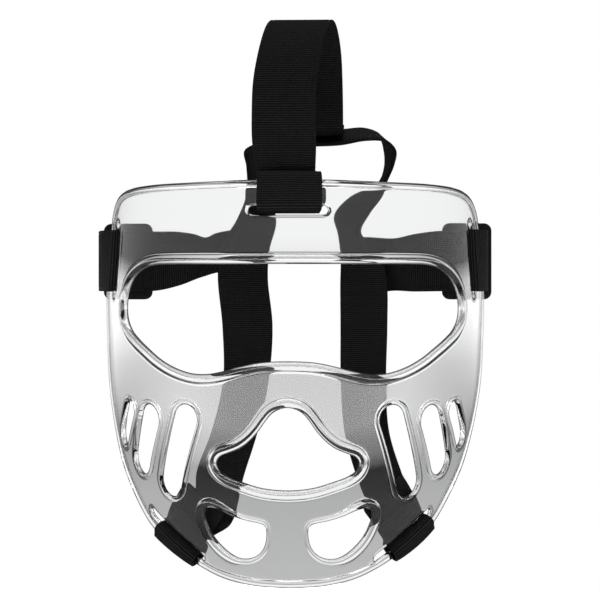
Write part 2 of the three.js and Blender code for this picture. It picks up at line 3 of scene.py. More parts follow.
import bpy
import numpy as np
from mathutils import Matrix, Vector, kdtree
from mathutils.geometry import delaunay_2d_cdt


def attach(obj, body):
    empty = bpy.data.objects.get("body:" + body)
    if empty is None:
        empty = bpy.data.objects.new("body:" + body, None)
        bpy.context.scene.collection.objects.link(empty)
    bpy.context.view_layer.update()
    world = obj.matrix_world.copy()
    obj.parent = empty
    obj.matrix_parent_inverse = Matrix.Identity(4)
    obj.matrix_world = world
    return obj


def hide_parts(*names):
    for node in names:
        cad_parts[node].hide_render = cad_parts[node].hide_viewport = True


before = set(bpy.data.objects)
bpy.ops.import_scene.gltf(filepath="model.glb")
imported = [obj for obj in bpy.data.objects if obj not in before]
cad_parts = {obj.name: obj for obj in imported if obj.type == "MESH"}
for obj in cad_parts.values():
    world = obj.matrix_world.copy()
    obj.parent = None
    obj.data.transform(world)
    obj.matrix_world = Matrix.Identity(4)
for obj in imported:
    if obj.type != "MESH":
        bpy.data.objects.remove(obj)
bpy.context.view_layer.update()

# Sizes in millimetres, in the frame of the shell
WALL = 2.2
RIM = 2.5
VENT_RIM = 1.4
EDGE_RIM = 1.9
SLOT_RIM = 1.5
FILLET = 1.5
DEVELOP = 95.0
WEB = 31.4
WEB_THICK = 1.6
TAB_WIDE = 40.0
LOWER_TAB_WIDE = 28.0
TAB_LONG = 26.0
LOWER_TAB_LONG = 31.0
TOP_TAB_LONG = 12.5
TAB_THICK = 1.4
TAB_CORNER = 4.0
LAYER_GAP = 0.35
FOLD_EASE = 0.35
SLOT_WIDE = 4.4
SLOT_LONG = 39.4
HANG = np.array([5.5, 45.0, 139.9])

# Level sections of the shell: z, half width, depth radius, how far back the front lies
SECTIONS = np.array([
    (-143, 69.6, 72, 11), (-129, 76.6, 77, 2.5), (-118, 82.2, 80, -2.5), (-109, 85.6, 83, -5),
    (-99, 88.6, 85, -6.5), (-83, 92.4, 88, -6.5), (-67, 95, 90, -5), (-44, 97.9, 92, -2),
    (-20, 99.3, 93, -0.5), (0, 99.7, 93, 0), (31, 97.8, 92, 1.5), (58.5, 97, 90, 5),
])

# Outer edge: brow and jaw as turn, z; rear edge as z, turn
BROW = np.array([(0, 57.1), (32, 56.2), (47, 55.8), (57, 54.9), (63, 53.5), (68, 50.8), (70.2, 48.7)])
REAR = np.array([
    (-99, 61), (-83, 67.6), (-67, 72.2), (-44, 76.4), (-20, 76.9), (20, 76.9), (36, 75.6), (44, 73.4),
    (48.7, 70.2),
])
JAW = np.array([
    (0, -139.4), (15.5, -138.2), (28.5, -134.2), (40, -126.4), (52, -115.4), (57.2, -107.6), (61, -99),
])

# Openings on the developed shell as u, z: right halves of the eye and nose, the right vent
EYE = [
    (0, 17.5), (32, 17.5), (62, 17.7), (74, 17.3), (82.5, 15.4), (90, 11.4), (95.2, 5.8), (98.2, -1.5),
    (97.6, -8.8), (93, -14.6), (85.6, -19.4), (77.5, -24), (70, -28.3), (62, -32), (54.5, -34.5),
    (47.5, -35.9), (39.6, -36), (31.6, -34.6), (22.5, -32.2), (12.5, -30.2), (0, -29.6),
]
NOSE = [
    (0, -52), (3.5, -52.7), (7.4, -54.8), (10.7, -58.6), (14.2, -63.4), (18.6, -68), (24, -71.8), (30, -74.2),
    (34.9, -76.2), (36.7, -79), (35.5, -82.2), (31.8, -84.8), (22.5, -88), (12.5, -90.6), (0, -91.6),
]
VENT = [
    (12, -109.4), (14.5, -108.2), (22, -106.8), (30.5, -104.6), (37.5, -102), (42.5, -101.1), (46, -102.4),
    (47.2, -105.2), (46.5, -108.8), (44.4, -114.6), (41, -119.6), (36.2, -123.8), (30.6, -126.2),
    (24, -126.4), (18.4, -124.6), (14, -120.8), (11.8, -115),
]

# Cheek slots, right side: top u, top z, low u, low z, half width
CHEEK_SLOTS = [
    (53.2, -58.2, 66.1, -89.4, 7.1),
    (77.9, -59.1, 88.1, -79.4, 7.2),
    (95.9, -55.3, 105.4, -68.8, 4.5),
]

# Strap bars: u, z, run of the slot in u and z, shift of the strap along the slot, its width there
TOP_BAR = dict(u=0, z=43.8, ru=1, rz=0, shift=0.7, wide=WEB)
SIDE_BAR = dict(u=112.5, z=20.3, ru=0, rz=1, shift=0, wide=WEB)
LOWER_BAR = dict(u=71.4, z=-116.2, ru=21.5, rz=15, shift=3.5, wide=26.4)

# Free runs of the webbing: x, y, z, heading of the width, slope of the width
TOP_RUN = [
    (-2.4, 15.2, 76, 0, 0), (-2.8, 15.6, 92, 0, 0), (-2.2, 17, 108, 0, 0), (0.4, 23, 125, 0, 0),
    (3.2, 32, 136.6, 0, 0), (5.5, 45, 140.7, 0, 0), (7.4, 58, 136.6, 0, 0), (8.8, 66, 126, 0, 0),
    (9.4, 69.5, 110, 0, 0), (9.6, 69.8, 96, 0, 0), (9.6, 70.2, 89, 0, 0), (9.6, 72.6, 86, 0, 2),
    (9.6, 77, 85.9, 0, 2), (9.6, 83, 87.7, 0, 2), (9.6, 95.4, 91.8, 0, 2),
]
BACK_RUN = [
    (43.6, 42, -87, -43, 6), (37.4, 62, -67, -43, 2), (35.5, 82, -42, -41, 0), (35.6, 95, -14, -38, 0),
    (35.4, 98, 8, -38, 0), (34, 97.6, 23, -47, 0), (28, 96, 35, -68, 0), (29.3, 93, 45, -54, 0),
    (36.5, 90, 54, -57, 0), (45.6, 86.5, 62, -82, 0), (49, 84, 70, -82, 0), (49.4, 82.5, 78, -80, -4),
    (45.4, 82, 84.6, -84, -10), (36.6, 82, 86.6, -88, -15), (24, 82, 85.2, -90, -18), (9, 82, 84.6, -90, -18),
    (-6, 82, 84.6, -90, -18), (-16.8, 82, 84, -92, -14), (-22.4, 82.5, 78.6, -100, -6),
    (-22, 84, 69, -98, 0), (-19.6, 88, 55, -108, 0), (-20.8, 92, 42, -126, 0), (-27.4, 96.4, 27, -142, 0),
    (-28.6, 98, 12, -143, 0), (-25.9, 95, -14, -143, 0), (-25.8, 82, -42, -135, 0), (-30, 62, -67, -134, 2),
    (-35.6, 42, -87, -134, 6),
]
RIGHT_RUN = [
    (83.6, 71, 20.3, -90, 90), (80, 79.5, 20.3, -90, 90), (73, 84.2, 20.2, -90, 88),
    (62, 86.6, 19.4, -90, 72), (52.6, 90.4, 18.6, -90, 60), (47.6, 94.4, 18.4, -90, 62),
    (37, 103, 18, -70, 78), (27, 110.6, 18, -50, 88),
]
LEFT_RUN = [
    (-83.6, 71, 20.3, -90, 90), (-80, 79.5, 20.3, -90, 88), (-73, 84.2, 20.4, -90, 80),
    (-62, 89, 21.8, -90, 62), (-52, 94, 23.4, -94, 44), (-44.4, 98.4, 23.8, -104, 34),
    (-38, 101.6, 23.2, -116, 50), (-30, 105.4, 22.4, -124, 74), (-19, 111.4, 22, -130, 88),
]

# Loop of a side strap round the temple bar: y, x on the left, x on the right
SIDE_LOOP = [
    (87.2, 87.6, 86.8), (86.6, 94, 92.6), (84.4, 99.6, 97), (80, 101.8, 98.6), (74, 101.6, 99.4),
    (66, 99, 98.6),
]


# Curves and the face of the shell
def smooth(rows, column, at):
    xs, ys = rows[:, 0], rows[:, column]
    gap = np.diff(xs)
    rise = np.diff(ys) / gap
    slope = np.empty(len(xs))
    slope[0], slope[-1] = rise[0], rise[-1]
    slope[1:-1] = (rise[:-1] * gap[1:] + rise[1:] * gap[:-1]) / (gap[:-1] + gap[1:])
    x = np.clip(at, xs[0], xs[-1])
    i = np.clip(np.searchsorted(xs, x) - 1, 0, len(xs) - 2)
    h = gap[i]
    s = (x - xs[i]) / h
    start = (2 * s**3 - 3 * s**2 + 1) * ys[i] + (s**3 - 2 * s**2 + s) * h * slope[i]
    return start + (3 * s**2 - 2 * s**3) * ys[i + 1] + (s**3 - s**2) * h * slope[i + 1]


def through(points, at, closed=False):
    """Centripetal curve through the points; at counts points from the first one."""
    p = np.asarray(points, float)
    n = len(p)
    if closed:
        padded = np.concatenate([p[-1:], p, p[:2]])
        spans = n
    else:
        padded = np.concatenate([2 * p[:1] - p[1:2], p, 2 * p[-1:] - p[-2:-1]])
        spans = n - 1
    i = np.clip(np.floor(at).astype(int), 0, spans - 1)
    w = (at - i)[:, None]
    a, b, c, d = padded[i], padded[i + 1], padded[i + 2], padded[i + 3]
    d0 = np.sqrt(np.linalg.norm(b - a, axis=1))[:, None]
    d1 = np.sqrt(np.linalg.norm(c - b, axis=1))[:, None]
    d2 = np.sqrt(np.linalg.norm(d - c, axis=1))[:, None]
    m1 = ((b - a) / d0 - (c - a) / (d0 + d1) + (c - b) / d1) * d1
    m2 = ((c - b) / d1 - (d - b) / (d1 + d2) + (d - c) / d2) * d1
    return b + m1 * w + (3 * (c - b) - 2 * m1 - m2) * w**2 + (2 * (b - c) + m1 + m2) * w**3


def face(u, z):
    turn = u / DEVELOP
    half, depth, front = (smooth(SECTIONS, k, z) for k in (1, 2, 3))
    return np.stack([half * np.sin(turn), front + depth * (1 - np.cos(turn)), z + 0 * turn], -1)


def across(u, z):
    return (face(u + 0.01, z) - face(u - 0.01, z)) / 0.02


def upward(u, z):
    return (face(u, z + 0.02) - face(u, z - 0.02)) / 0.04


def unit(v):
    return v / np.linalg.norm(v, axis=-1, keepdims=True)


def outward(u, z):
    return unit(np.cross(across(u, z), upward(u, z)))


def on_shell(u, z, raised):
    u, z, raised = np.broadcast_arrays(np.asarray(u, float), np.asarray(z, float), np.asarray(raised, float))
    return face(u, z) + outward(u, z) * raised[..., None]


# Loops on the developed shell
def even(loop, step):
    """Closed loop resampled to an even step."""
    ring = np.concatenate([loop, loop[:1]])
    run = np.concatenate([[0], np.cumsum(np.linalg.norm(np.diff(ring, axis=0), axis=1))])
    count = max(int(round(run[-1] / step)), 12)
    at = np.arange(count) * run[-1] / count
    return np.stack([np.interp(at, run, ring[:, k]) for k in (0, 1)], 1)


def grown(loop, by):
    """Loop set outward by a distance; counter-clockwise loops only."""
    along = unit(np.roll(loop, -1, 0) - np.roll(loop, 1, 0))
    return loop + np.asarray(by).reshape(-1, 1) * np.stack([along[:, 1], -along[:, 0]], 1)


def turned(loop):
    """The loop, counter-clockwise."""
    nxt = np.roll(loop, -1, 0)
    area = np.sum(loop[:, 0] * nxt[:, 1] - nxt[:, 0] * loop[:, 1])
    return loop if area > 0 else loop[::-1].copy()


def curved(rows, step):
    at = np.arange(0, len(rows), 1 / 40)
    return even(turned(through(rows, at, closed=True)), step)


def whole(rows):
    return list(rows) + [(-u, z) for u, z in rows[-2:0:-1]]


def slot_loop(tu, tz, lu, lz, half, step):
    heading = math.atan2(tz - lz, tu - lu)
    turn = np.linspace(0, math.pi, 60)
    ends = []
    for u, z, start in ((tu, tz, heading - math.pi / 2), (lu, lz, heading + math.pi / 2)):
        ends.append(np.stack([u + half * np.cos(start + turn), z + half * np.sin(start + turn)], 1))
    return even(turned(np.concatenate(ends)), step)


def mirrored(loop):
    return turned(loop * np.array([-1, 1]))


def patch(s, t):
    rear = smooth(REAR, 1, JAW[-1, 1] + t * (BROW[-1, 1] - JAW[-1, 1]))
    jaw = smooth(JAW, 1, np.abs(s) * JAW[-1, 0])
    brow = smooth(BROW, 1, np.abs(s) * BROW[-1, 0])
    return np.stack([np.radians(s * rear) * DEVELOP, jaw + t * (brow - jaw)], -1)


def edge_loop(step):
    k = np.arange(0, 1, 1 / 300)
    one = np.ones_like(k)
    sides = [patch(2 * k - 1, 0 * k), patch(one, k), patch(1 - 2 * k, one), patch(-one, 1 - k)]
    return even(turned(np.concatenate(sides)), step)


def bar_slot(bar, step):
    long = np.linalg.norm(across(bar["u"], bar["z"]) * bar["ru"] + upward(bar["u"], bar["z"]) * bar["rz"])
    reach = (SLOT_LONG - SLOT_WIDE) / 2 / long
    du, dz = bar["ru"] * reach, bar["rz"] * reach
    return slot_loop(bar["u"] + du, bar["z"] + dz, bar["u"] - du, bar["z"] - dz, SLOT_WIDE / 2, step)


def inside(points, loop):
    """Which points lie inside a closed loop."""
    x, y = points[:, 0:1], points[:, 1:2]
    x1, y1 = loop[:, 0][None], loop[:, 1][None]
    nxt = np.roll(loop, -1, 0)
    x2, y2 = nxt[:, 0][None], nxt[:, 1][None]
    crosses = (y1 > y) != (y2 > y)
    with np.errstate(divide="ignore", invalid="ignore"):
        left = x < (x2 - x1) * (y - y1) / (y2 - y1) + x1
    return np.sum(crosses & left, axis=1) % 2 == 1


# Height of the wall's face above its middle, by distance from the middle line of a rim
def rim_foot(radius):
    """Where the fillet of a rim starts and where it meets the plain wall."""
    foot = np.sqrt((radius + FILLET) ** 2 - (WALL / 2 + FILLET) ** 2)
    return foot * radius / (radius + FILLET), foot


def rim_height(d, radius):
    half = WALL / 2
    meet, foot = rim_foot(radius)
    bead = np.sqrt(np.clip(radius**2 - d**2, 0, None))
    hollow = half + FILLET - np.sqrt(np.clip(FILLET**2 - (d - foot) ** 2, 0, None))
    return np.where(d < meet, bead, np.where(d < foot, hollow, half))


def vent_rim(places):
    """Thin along the chin, full on the cheek side."""
    s = np.clip((np.abs(places[:, 0]) - 24) / 20, 0, 1)
    return VENT_RIM + (RIM - VENT_RIM) * s * s * (3 - 2 * s)


def shell_mesh():
    step = 1.5
    sized = {name: lambda places, r=r: np.full(len(places), r) for name, r in (
        ("full", RIM), ("edge", EDGE_RIM), ("cheek", SLOT_RIM), ("plain", WALL / 2))}
    sized["vent"] = vent_rim
    loops = [(curved(whole(EYE), step), "full"), (curved(whole(NOSE), step), "full")]
    vent = curved(VENT, step)
    loops += [(vent, "vent"), (mirrored(vent), "vent")]
    for row in CHEEK_SLOTS:
        slot = slot_loop(*row, step)
        loops += [(slot, "cheek"), (mirrored(slot), "cheek")]
    for bar, both in ((TOP_BAR, False), (SIDE_BAR, True), (LOWER_BAR, True)):
        slot = bar_slot(bar, step)
        loops.append((slot, "plain"))
        if both:
            loops.append((mirrored(slot), "plain"))
    middles = [(grown(loop, sized[kind](loop)), sized[kind], kind, -1) for loop, kind in loops]
    middles.append((edge_loop(step), sized["edge"], "edge", 1))

    trees = []
    for middle, size, kind, side in middles:
        dense = even(middle, 0.25)
        tree = kdtree.KDTree(len(dense))
        for k, (u, z) in enumerate(dense):
            tree.insert((u, z, 0), k)
        tree.balance()
        trees.append(tree)

    def distances(points):
        found = np.empty((len(points), len(trees)))
        for k, tree in enumerate(trees):
            found[:, k] = [tree.find((u, z, 0))[2] for u, z in points]
        return found

    points, heights, borders = [], [], []
    count = 0
    for index, (middle, size, kind, side) in enumerate(middles):
        radius = size(middle)
        for angle in [30, 60, 90] if kind == "plain" else [15, 30, 45, 60, 75, 90]:
            ring = grown(middle, side * radius * math.sin(math.radians(angle)))
            if angle == 90:
                borders.append((np.arange(count, count + len(ring)), ring))
            points.append(ring)
            heights.append(0 * radius if angle == 90 else radius * math.cos(math.radians(angle)))
            count += len(ring)
        if kind == "plain":
            offsets = [0 * radius, 0 * radius + 0.8, 0 * radius + 2.2]
        else:
            meet, foot = rim_foot(radius)
            offsets = [meet * k for k in (0, 0.33, 0.66, 1)]
            offsets += [meet + (foot - meet) * k for k in (0.33, 0.66, 1)] + [foot + 0.8, foot + 2.2]
        for offset in offsets:
            ring = grown(middle, -side * offset)
            near = distances(ring)
            own = near[:, index]
            others = np.min(np.delete(near, index, 1), axis=1)
            keep = (own > offset - 0.12) & (own <= others + 0.02)
            ring, near = ring[keep], near[keep]
            points.append(ring)
            rises = [rim_height(near[:, k], m[1](ring)) for k, m in enumerate(middles)]
            heights.append(np.max(rises, axis=0))
            count += len(ring)

    pitch = 3.0
    outline = middles[-1][0]
    low, high = outline.min(0), outline.max(0)
    rows = np.arange(low[1], high[1], pitch * 0.866)
    columns = np.arange(low[0], high[0], pitch)
    grid = np.array([(u + (pitch / 2 if j % 2 else 0), z) for j, z in enumerate(rows) for u in columns])
    grid = grid[inside(grid, outline)]
    for middle, size, kind, side in middles[:-1]:
        grid = grid[~inside(grid, middle)]
    near = distances(grid)
    clear = np.array([3.6 if m[2] == "plain" else 6.2 if m[2] in ("full", "vent") else 5.0 for m in middles])
    grid = grid[np.all(near > clear, axis=1)]
    points.append(grid)
    heights.append(np.full(len(grid), WALL / 2))
    points = np.concatenate(points)
    heights = np.concatenate(heights)

    edges = []
    for index, ring in borders:
        edges += list(zip(index.tolist(), np.roll(index, -1).tolist()))
    flat = [Vector(p) for p in points]
    made, _, triangles, origin, _, _ = delaunay_2d_cdt(flat, edges, [], 0, 1e-4)
    place = np.array([(p.x, p.y) for p in made])
    height = np.array([heights[o[0]] if o else WALL / 2 for o in origin])
    triangles = np.array(triangles)
    centre = place[triangles].mean(1)
    keep = inside(centre, borders[-1][1])
    for index, ring in borders[:-1]:
        keep &= ~inside(centre, ring)
    triangles = triangles[keep]
    a, b, c = (place[triangles[:, k]] for k in range(3))
    facing = (b[:, 0] - a[:, 0]) * (c[:, 1] - a[:, 1]) - (b[:, 1] - a[:, 1]) * (c[:, 0] - a[:, 0])
    triangles[facing < 0] = triangles[facing < 0][:, ::-1]

    count = len(place)
    outer = on_shell(place[:, 0], place[:, 1], height - WALL / 2)
    inner = on_shell(place[:, 0], place[:, 1], -height - WALL / 2)
    shared = height == 0
    back = np.where(shared, np.arange(count), np.cumsum(~shared) - 1 + count)
    verts = np.concatenate([outer, inner[~shared]])
    faces = np.concatenate([triangles, back[triangles[:, ::-1]]])
    # Closeness to the rim beads and their fillets: the mask for the painted shade, near-black lines along the
    # rim flanks of the clear plastic.
    near = distances(place)
    rimmed = np.min([near[:, k] - m[1](place) for k, m in enumerate(middles)], axis=0)
    rim = np.clip(1 - rimmed / 1.2, 0, 1)
    return verts, faces, np.concatenate([rim, rim[~shared]])


def add_mesh(name, verts, faces, rim=None, uv=None):
    """Mesh object from millimetres in the shell's frame, smooth shaded, standing in the row frame."""
    mesh = bpy.data.meshes.new(name)
    mesh.from_pydata(((np.asarray(verts) - HANG) / 1000).tolist(), [], [list(map(int, f)) for f in faces])
    mesh.polygons.foreach_set("use_smooth", [True] * len(mesh.polygons))
    # The rim mask carries the painted shade of the shell's dark rim lines.
    if rim is not None:
        mesh.attributes.new("rim", "FLOAT", "POINT").data.foreach_set("value", np.asarray(rim, np.float32))
    if uv is not None:
        layer = mesh.uv_layers.new(name="run")
        index = np.empty(len(mesh.loops), dtype=np.int32)
        mesh.loops.foreach_get("vertex_index", index)
        layer.data.foreach_set("uv", np.asarray(uv, np.float32)[index].ravel())
    mesh.update()
    made = bpy.data.objects.new(name, mesh)
    bpy.context.scene.collection.objects.link(made)
    return made


# Strap bars and the stations of the webbing
EDGE = edge_loop(1.0)


def bar_frame(bar):
    u, z = bar["u"], bar["z"]
    su, sz = across(u, z), upward(u, z)
    run = su * bar["ru"] + sz * bar["rz"]
    long = np.linalg.norm(run)
    out = np.cross(run / long, outward(u, z))
    gram = su @ su * (sz @ sz) - (su @ sz) ** 2
    eu = (out @ su * (sz @ sz) - out @ sz * (su @ sz)) / gram
    ez = (out @ sz * (su @ su) - out @ su * (su @ sz)) / gram
    side = math.copysign(1, eu * u + ez * z)
    return dict(bar, qu=bar["ru"] / long, qz=bar["rz"] / long, eu=eu * side, ez=ez * side)


def to_edge(bar, q):
    at = np.array([bar["u"] + bar["qu"] * q, bar["z"] + bar["qz"] * q])
    off = EDGE - at
    side = off[:, 0] * bar["ez"] - off[:, 1] * bar["eu"]
    ahead = (off[:, 0] * bar["eu"] + off[:, 1] * bar["ez"]) / (bar["eu"] ** 2 + bar["ez"] ** 2)
    side2, ahead2 = np.roll(side, -1), np.roll(ahead, -1)
    hit = side * side2 <= 0
    found = ahead[hit] + (ahead2[hit] - ahead[hit]) * side[hit] / (side[hit] - side2[hit])
    return found[found > 0].min()


def by_bar(bar, e, q, raised):
    u = bar["u"] + bar["eu"] * e + bar["qu"] * q
    z = bar["z"] + bar["ez"] * e + bar["qz"] * q
    return on_shell(u, z, raised)


def across_bar(bar):
    return [q + bar["shift"] for q in (-bar["wide"] / 2, 0, bar["wide"] / 2)]


def bar_station(bar, e, raised, drift=0):
    return np.array([by_bar(bar, e, q + drift, raised) for q in across_bar(bar)])


def edge_station(bar, beyond, raised, drift=0, tight=0):
    ends = zip(across_bar(bar), (beyond, beyond - tight, beyond))
    return np.array([by_bar(bar, to_edge(bar, q) + far, q + drift, raised) for q, far in ends])


def free_station(x, y, z, turn, lean):
    turn, lean = math.radians(turn), math.radians(lean)
    wide = np.array([math.cos(lean) * math.cos(turn), math.cos(lean) * math.sin(turn), math.sin(lean)])
    return np.array([np.array([x, y, z]) + wide * q for q in (-WEB / 2, 0, WEB / 2)])


def flipped(stations):
    return [s * np.array([-1, 1, 1]) for s in stations]


OVER_EDGE = EDGE_RIM - WALL / 2 + LAYER_GAP + FOLD_EASE + WEB_THICK / 2
UNDER_EDGE = -WALL / 2 - EDGE_RIM - LAYER_GAP - WEB_THICK / 2 - 0.15
WEB_TO_TAB = (WEB_THICK + TAB_THICK) / 2 + LAYER_GAP


def fold(bar, slot_at, within, back, reach, drift=0, tight=0):
    middle, radius = (OVER_EDGE + within) / 2, (OVER_EDGE - within) / 2
    stations = [
        bar_station(bar, slot_at, -WALL - 1),
        bar_station(bar, slot_at + 0.1, -0.2),
        bar_station(bar, slot_at + 1, OVER_EDGE),
        bar_station(bar, slot_at + 3.1, OVER_EDGE + 0.6),
        edge_station(bar, -1.5, OVER_EDGE + 0.1),
    ]
    for angle in (20, 55, 90, 125, 160):
        a = math.radians(angle)
        raised = middle + radius * math.cos(a)
        stations.append(edge_station(bar, reach * math.sin(a), raised, 0, tight * math.sin(a)))
    ends = [edge_station(bar, -1.5, within, drift * 0.3), edge_station(bar, -back, within, drift * 0.8)]
    return stations + ends


top_bar, side_bar, lower_right = (bar_frame(b) for b in (TOP_BAR, SIDE_BAR, LOWER_BAR))
lower_left = dict(lower_right, shift=-2.5)
TOP_TAB_RAISE = UNDER_EDGE - WEB_TO_TAB - 0.45
TOP_MAIN = TOP_TAB_RAISE - WEB_TO_TAB - 1
LOWER_RETURN = -WALL / 2 - RIM - LAYER_GAP - WEB_THICK / 2 - 0.1
LOWER_TAB_RAISE = LOWER_RETURN - WEB_TO_TAB - 0.5
LOWER_ARM = LOWER_TAB_RAISE - WEB_TO_TAB - 0.9

top_stations = [free_station(*row) for row in TOP_RUN][::-1] + [
    edge_station(top_bar, 3, TOP_MAIN - 0.5, -2),
    edge_station(top_bar, -5, TOP_MAIN, -1),
    bar_station(top_bar, 2.6, TOP_MAIN),
    bar_station(top_bar, 0.9, TOP_MAIN + 0.4),
    bar_station(top_bar, 0.3, TOP_MAIN + 1.6),
] + fold(top_bar, 0.3, UNDER_EDGE, 7, 5.2)


def lower_stations(bar, drift, reach, turn_in):
    return [
        bar_station(bar, -13, LOWER_RETURN - 0.2),
        bar_station(bar, -6, LOWER_RETURN),
        bar_station(bar, -2.6, LOWER_RETURN + 0.1),
    ] + fold(bar, 0.4, LOWER_ARM, 10, reach, turn_in, 0.6) + [bar_station(bar, -20, LOWER_ARM - 1.5, drift)]


back_stations = (
    lower_stations(lower_right, 5, 4.5, 4.4)
    + [free_station(*row) for row in BACK_RUN]
    + flipped(lower_stations(lower_left, -4.2, 4.4, 0))[::-1]
)


def side_stations(column):
    return [free_station(row[column], row[0], SIDE_BAR["z"], 0, 90) for row in SIDE_LOOP] + [
        bar_station(side_bar, 2.4, OVER_EDGE),
        bar_station(side_bar, 0.8, OVER_EDGE - 0.6),
        bar_station(side_bar, 0, -0.4),
        bar_station(side_bar, 0, -WALL - 0.8),
        bar_station(side_bar, 1, -WALL - 4),
    ]


right_stations = side_stations(2) + [free_station(*row) for row in RIGHT_RUN]
left_stations = flipped(side_stations(1)) + [free_station(*row) for row in LEFT_RUN]


# Woven webbing: ribs across it, a selvage along each side
RIB = 1.15
RIB_DEEP = 0.13
END_SOFT = 0.7
STEP = RIB / 4
HALF_RING = [
    (15.7, 0.0), (15.62, 0.42), (15.35, 0.74), (14.9, 0.8), (14.4, 0.72), (13.9, 0.66), (13.5, 0.8),
    (10, 0.8), (6.6, 0.8), (3.3, 0.8), (0, 0.8),
]


class Webbing:
    """Strip through its stations: points by run along it, place across and height over its middle."""

    def __init__(self, stations):
        tracks = np.array(stations)
        at = np.linspace(0, len(tracks) - 1, 60 * (len(tracks) - 1) + 1)
        middle = through(tracks[:, 1], at)
        run = np.concatenate([[0], np.cumsum(np.linalg.norm(np.diff(middle, axis=0), axis=1))])
        self.long = run[-1]
        self.run = np.linspace(0, self.long, int(self.long / STEP) + 1)
        even_at = np.interp(self.run, run, at)
        self.tracks = [through(tracks[:, k], even_at) for k in range(3)]
        along = np.gradient(self.tracks[1], axis=0)
        self.along = unit(along)
        self.wide = unit(self.tracks[2] - self.tracks[0])
        self.normal = unit(np.cross(self.along, self.wide))

    def at(self, index, w, high):
        s = w / (WEB / 2)
        left, middle, right = (t[index] for t in self.tracks)
        flat = left * (s * (s - 1) / 2) + middle * (1 - s * s) + right * (s * (s + 1) / 2)
        return flat + self.normal[index] * np.asarray(high).reshape(-1, 1)

    def mesh(self, name):
        index = np.arange(len(self.run))
        rib = RIB_DEEP * (0.5 - 0.5 * np.cos(2 * math.pi * self.run / RIB))
        ring = [(w, h) for w, h in HALF_RING] + [(-w, h) for w, h in HALF_RING[-2::-1]]
        ring += [(w, -h) for w, h in ring[-2:0:-1]]
        ends = np.sqrt(np.clip(np.minimum(self.run, self.long - self.run) / END_SOFT, 0, 1))
        columns = []
        for w, h in ring:
            ribbed = 1.0 if abs(w) < 14.2 else 0.35
            high = h - math.copysign(1, h) * rib * ribbed if h else 0 * rib
            columns.append(self.at(index, w, high * (0.3 + 0.7 * ends)))
        verts = np.stack(columns, 1)
        n, m = verts.shape[:2]
        i, j = np.meshgrid(np.arange(n - 1), np.arange(m), indexing="ij")
        k = (j + 1) % m
        faces = np.stack([i * m + j, i * m + k, (i + 1) * m + k, (i + 1) * m + j], -1).reshape(-1, 4).tolist()
        faces.append(list(range(m))[::-1])
        faces.append([(n - 1) * m + j for j in range(m)])
        places = np.array([w for w, h in ring])
        uv = np.stack(np.broadcast_arrays(places[None], self.run[:, None]), -1).reshape(-1, 2)
        return facing_out(add_mesh(name, verts.reshape(-1, 3), faces, uv=uv / 1000))


def facing_out(made):
    """The same mesh with its faces turned outward."""
    mesh = made.data
    mesh.calc_loop_triangles()
    co = np.empty(len(mesh.vertices) * 3)
    mesh.vertices.foreach_get("co", co)
    co = co.reshape(-1, 3)
    tri = np.array([t.vertices[:] for t in mesh.loop_triangles])
    volume = np.einsum("ij,ij->i", co[tri[:, 0]], np.cross(co[tri[:, 1]], co[tri[:, 2]])).sum()
    if volume < 0:
        mesh.flip_normals()
    return made


# Hook tabs: a tape with rounded corners, ribbed on its plain side, rows of small hooks on the other
def top_tab(s, q, raised):
    e = to_edge(top_bar, 0) + 1 - s
    return by_bar(top_bar, e, q * 1.06 + TOP_BAR["shift"] - 2.4, TOP_TAB_RAISE + raised)


def lower_tab(bar):
    far = to_edge(bar, bar["shift"]) - 3
    return lambda s, q, raised: by_bar(bar, far - s, q + bar["shift"] + 1.6, LOWER_TAB_RAISE + raised)


def side_tab(far):
    return lambda s, q, raised: np.stack(
        np.broadcast_arrays(far - s, 89.4 + raised - 0.02 * s, SIDE_BAR["z"] + q), -1)


def leftward(place):
    return lambda s, q, raised: place(s, q, raised) * np.array([-1, 1, 1])


# Small hooks: spacing, sideways lean of the tip, rings as radius, height, share of the lean
HOOK_PITCH = 1.3
HOOK_LEAN = 0.16
HOOK_RINGS = ((0.2, 0, 0), (0.15, 0.14, 0), (0.2, 0.22, 1), (0.06, 0.28, 1))


def ring_faces(base, count, rings):
    """Side faces of a small round body whose rings start at one vertex."""
    made = []
    for k in range(rings - 1):
        for a in range(count):
            low, high = base + k * count, base + (k + 1) * count
            b = (a + 1) % count
            made.append([low + a, low + b, high + b, high + a])
    return made


